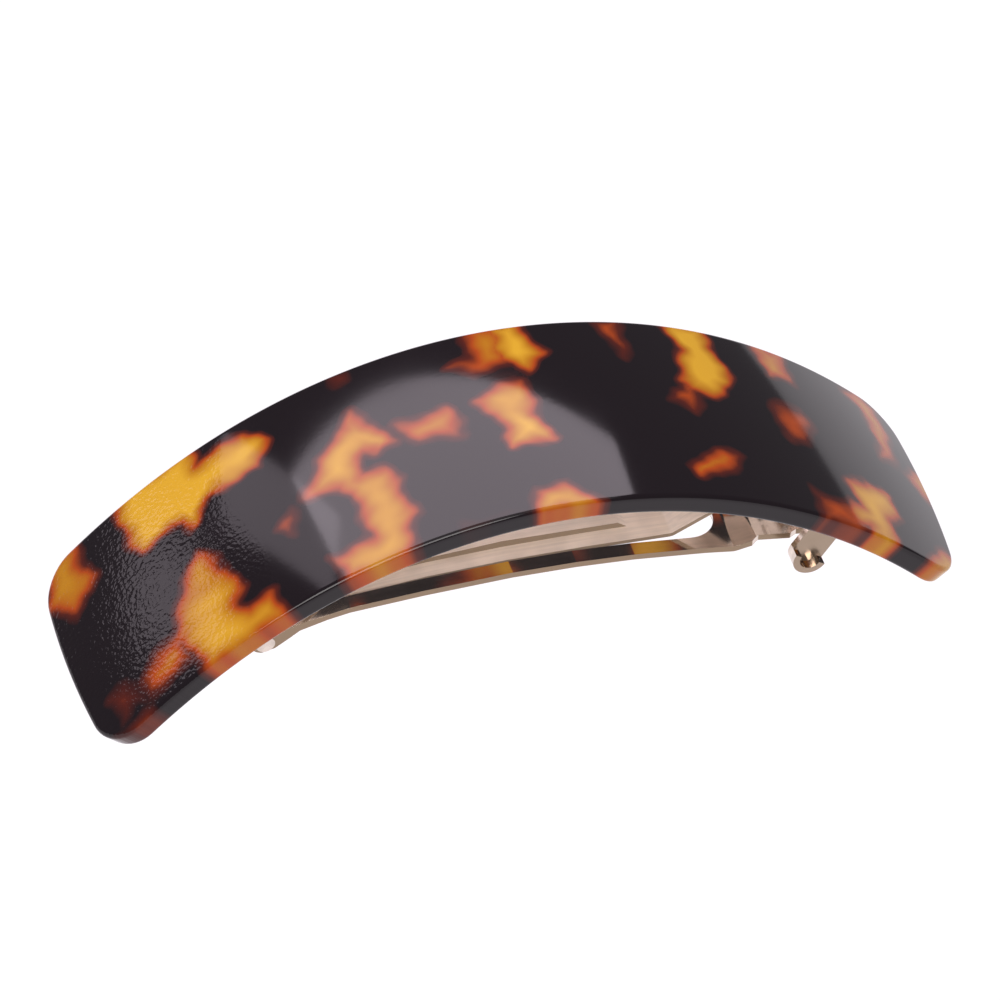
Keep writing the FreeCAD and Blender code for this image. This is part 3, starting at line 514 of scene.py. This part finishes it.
def rolled_metal(name, bright, dull, roughness, lines, metallic=1.0):
    """Plated sheet: fine rolling lines along x, wiped patches, and faces turned sideways that are darker
    and rougher than the rest: the sheet's raw edges as their own duller finish, and painted shade on broad
    sideways faces."""
    material, tree, shader = new_material(name)
    place = node(tree, "TexCoord").outputs["Object"]
    drawn = node(tree, "Mapping", {"Vector": place, "Scale": (60.0, 2600.0, 900.0)}).outputs[0]
    streak = noise(tree, drawn, 1.0, 4.0, 0.65)
    wiped = noise(tree, place, 260.0, 3.0)
    # mask of faces turned sideways: raw sheet edges, and painted shade on broad sideways faces
    raw_edge_and_painted_shade = node(tree, "Attribute", attribute_name="raw_edge_and_painted_shade").outputs["Fac"]
    worn = node(tree, "Math", {0: wiped, 1: streak}, operation="MULTIPLY").outputs[0]
    shade = ramp(tree, worn, ((0.10, dimmed(bright, 0.74)), (0.36, tuple(bright))))
    mixed = node(tree, "Mix", data_type="RGBA", inputs={0: raw_edge_and_painted_shade, 6: shade, 7: (*dull, 1.0)}).outputs[2]
    tree.links.new(mixed, shader.inputs["Base Color"])
    low, high = roughness
    rough = spread(tree, worn, 0.0, 0.6, low, high)
    rough = scaled(tree, raw_edge_and_painted_shade, 0.18, rough)
    tree.links.new(rough, shader.inputs["Roughness"])
    bump = node(tree, "Bump", {"Strength": lines, "Distance": 0.00002, "Height": streak})
    tree.links.new(bump.outputs[0], shader.inputs["Normal"])
    shader.inputs["Metallic"].default_value = metallic
    return material


def nickel_plate(colours):
    """The clasp's bright warm nickel."""
    return rolled_metal("nickel plate", colours.nickel, colours.raw_edge_and_painted_shade, (0.07, 0.16), 0.06)


def spring_steel(colours):
    """The bow's brushed steel, with longer and deeper lines."""
    return rolled_metal("spring steel", colours.spring, colours.raw_edge_and_painted_shade, (0.34, 0.50), 0.15, 0.05)


def turned_metal(colours):
    """Rivet and pin metal with rubbed patches and a fine grain."""
    material, tree, shader = new_material("rivet metal")
    place = node(tree, "TexCoord").outputs["Object"]
    rubbed = noise(tree, place, 900.0, 4.0)
    shade = ramp(tree, rubbed, ((0.2, dimmed(colours.nickel, 0.72)), (0.7, tuple(colours.nickel))))
    tree.links.new(shade, shader.inputs["Base Color"])
    rough = spread(tree, rubbed, 0.0, 1.0, 0.16, 0.36)
    tree.links.new(rough, shader.inputs["Roughness"])
    bump = node(tree, "Bump", {"Strength": 0.2, "Distance": 0.00002, "Height": rubbed})
    tree.links.new(bump.outputs[0], shader.inputs["Normal"])
    shader.inputs["Metallic"].default_value = 1.0
    return material


# ------------------------------------------------------------------ the studio
def direction(azimuth, elevation):
    """Unit vector to a place in the room: azimuth 0 is +Y and 90 is +X, in degrees."""
    a, e = math.radians(azimuth), math.radians(elevation)
    return Vector((math.sin(a) * math.cos(e), math.cos(a) * math.cos(e), math.sin(e)))


def softbox(name, azimuth, elevation, width, height, radiance, tint):
    """A rectangular light that faces the barrette.  Its power is pi times its
    area times its radiance."""
    light = bpy.data.lights.new(name, "AREA")
    light.shape = "RECTANGLE"
    light.size, light.size_y = width, height
    light.energy = math.pi * width * height * radiance
    light.color = tint
    made = bpy.data.objects.new(name, light)
    bpy.context.scene.collection.objects.link(made)
    towards = direction(azimuth, elevation)
    made.location = towards * LIGHT_DISTANCE
    made.rotation_mode = "QUATERNION"
    made.rotation_quaternion = towards.to_track_quat("Z", "Y")
    return made


def floor_material(glow):
    """Pale matt board with a faint mottling, lit a little from below."""
    material, tree, shader = new_material("pale board")
    place = node(tree, "TexCoord").outputs["Object"]
    mottle = noise(tree, place, 9.0, 3.0)
    tree.links.new(ramp(tree, mottle, ((0.3, (0.21, 0.21, 0.213)), (0.7, (0.23, 0.23, 0.233)))),
                   shader.inputs["Base Color"])
    shader.inputs["Roughness"].default_value = 0.9
    shader.inputs["Emission Color"].default_value = (1.0, 0.965, 1.0, 1.0)
    shader.inputs["Emission Strength"].default_value = glow
    return material


class BARRETTE_OT_studio(bpy.types.Operator):
    """Set up the pale floor, the soft lights and the camera"""

    bl_idname = "barrette.studio"
    bl_label = "Studio"

    def execute(self, context):
        scene = context.scene
        studio = scene.barrette_studio
        scene.view_settings.view_transform = "Standard"
        mesh = bpy.data.meshes.new("floor")
        reach, low = 4.0, -studio.floor_drop
        corners = [(-reach, -reach, low), (reach, -reach, low), (reach, reach, low), (-reach, reach, low)]
        mesh.from_pydata(corners, [], [(0, 1, 2, 3)])
        floor = new_object("floor", mesh)
        mesh.materials.append(floor_material(studio.floor_glow))

        warm, mauve = (1.0, 0.965, 0.95), (1.0, 0.885, 0.98)
        softbox("overhead box", 180.0, 84.0, 2.6, 2.4, 0.6, warm)
        softbox("front box", 199.0, 40.0, 1.9, 1.1, 7.0, warm)
        softbox("back box", 4.0, 59.0, 2.5, 1.35, 4.6, mauve)
        softbox("left strip", -36.0, 36.5, 0.36, 0.75, 2.2, mauve)
        softbox("left box", -47.0, 20.0, 0.40, 0.55, 2.0, mauve)

        world = bpy.data.worlds.new("dim room")
        world.use_nodes = True
        world.node_tree.nodes["Background"].inputs["Color"].default_value = (0.98, 0.96, 1.0, 1.0)
        world.node_tree.nodes["Background"].inputs["Strength"].default_value = studio.surround
        scene.world = world

        data = bpy.data.cameras.new("camera")
        data.sensor_width = 36.0
        data.lens = studio.lens
        data.clip_start, data.clip_end = 0.05, 50.0
        camera = bpy.data.objects.new("camera", data)
        scene.collection.objects.link(camera)
        back = Vector((math.sin(studio.azimuth) * math.cos(studio.elevation),
                       -math.cos(studio.azimuth) * math.cos(studio.elevation), math.sin(studio.elevation)))
        level = back.to_track_quat("Z", "Y").to_matrix().to_4x4()
        aim = Vector((studio.aim_along, 0.0, studio.aim_height))
        camera.matrix_world = (Matrix.Translation(aim + back * studio.distance) @ level
                               @ Matrix.Rotation(studio.roll, 4, "Z"))
        scene.camera = camera
        return {"FINISHED"}


# ------------------------------------------------------------------ the sidebar
class BARRETTE_PT_sidebar(bpy.types.Panel):
    """The barrette's sizes, colours and build steps"""

    bl_idname = "BARRETTE_PT_sidebar"
    bl_label = "Barrette"
    bl_space_type = "VIEW_3D"
    bl_region_type = "UI"
    bl_category = "Barrette"

    def draw(self, context):
        scene = context.scene
        for settings in (scene.barrette_sizes, scene.barrette_colours, scene.barrette_studio):
            box = self.layout.box()
            for name in settings.__annotations__:
                box.prop(settings, name)
        for step in STEPS:
            self.layout.operator(step.bl_idname)


STEPS = (BARRETTE_OT_plate, BARRETTE_OT_clasp, BARRETTE_OT_fasteners, BARRETTE_OT_studio)
CLASSES = (BarretteSizes, BarretteColours, BarretteStudio, *STEPS, BARRETTE_PT_sidebar)


def register():
    for kind in CLASSES:
        bpy.utils.register_class(kind)
    bpy.types.Scene.barrette_sizes = PointerProperty(type=BarretteSizes)
    bpy.types.Scene.barrette_colours = PointerProperty(type=BarretteColours)
    bpy.types.Scene.barrette_studio = PointerProperty(type=BarretteStudio)


def unregister():
    del bpy.types.Scene.barrette_sizes, bpy.types.Scene.barrette_colours, bpy.types.Scene.barrette_studio
    for kind in reversed(CLASSES):
        bpy.utils.unregister_class(kind)


def main():
    """Builds everything in order."""
    register()
    for name in ("plate", "clasp", "fasteners", "studio"):
        getattr(bpy.ops.barrette, name)()


if __name__ == "__main__":
    main()
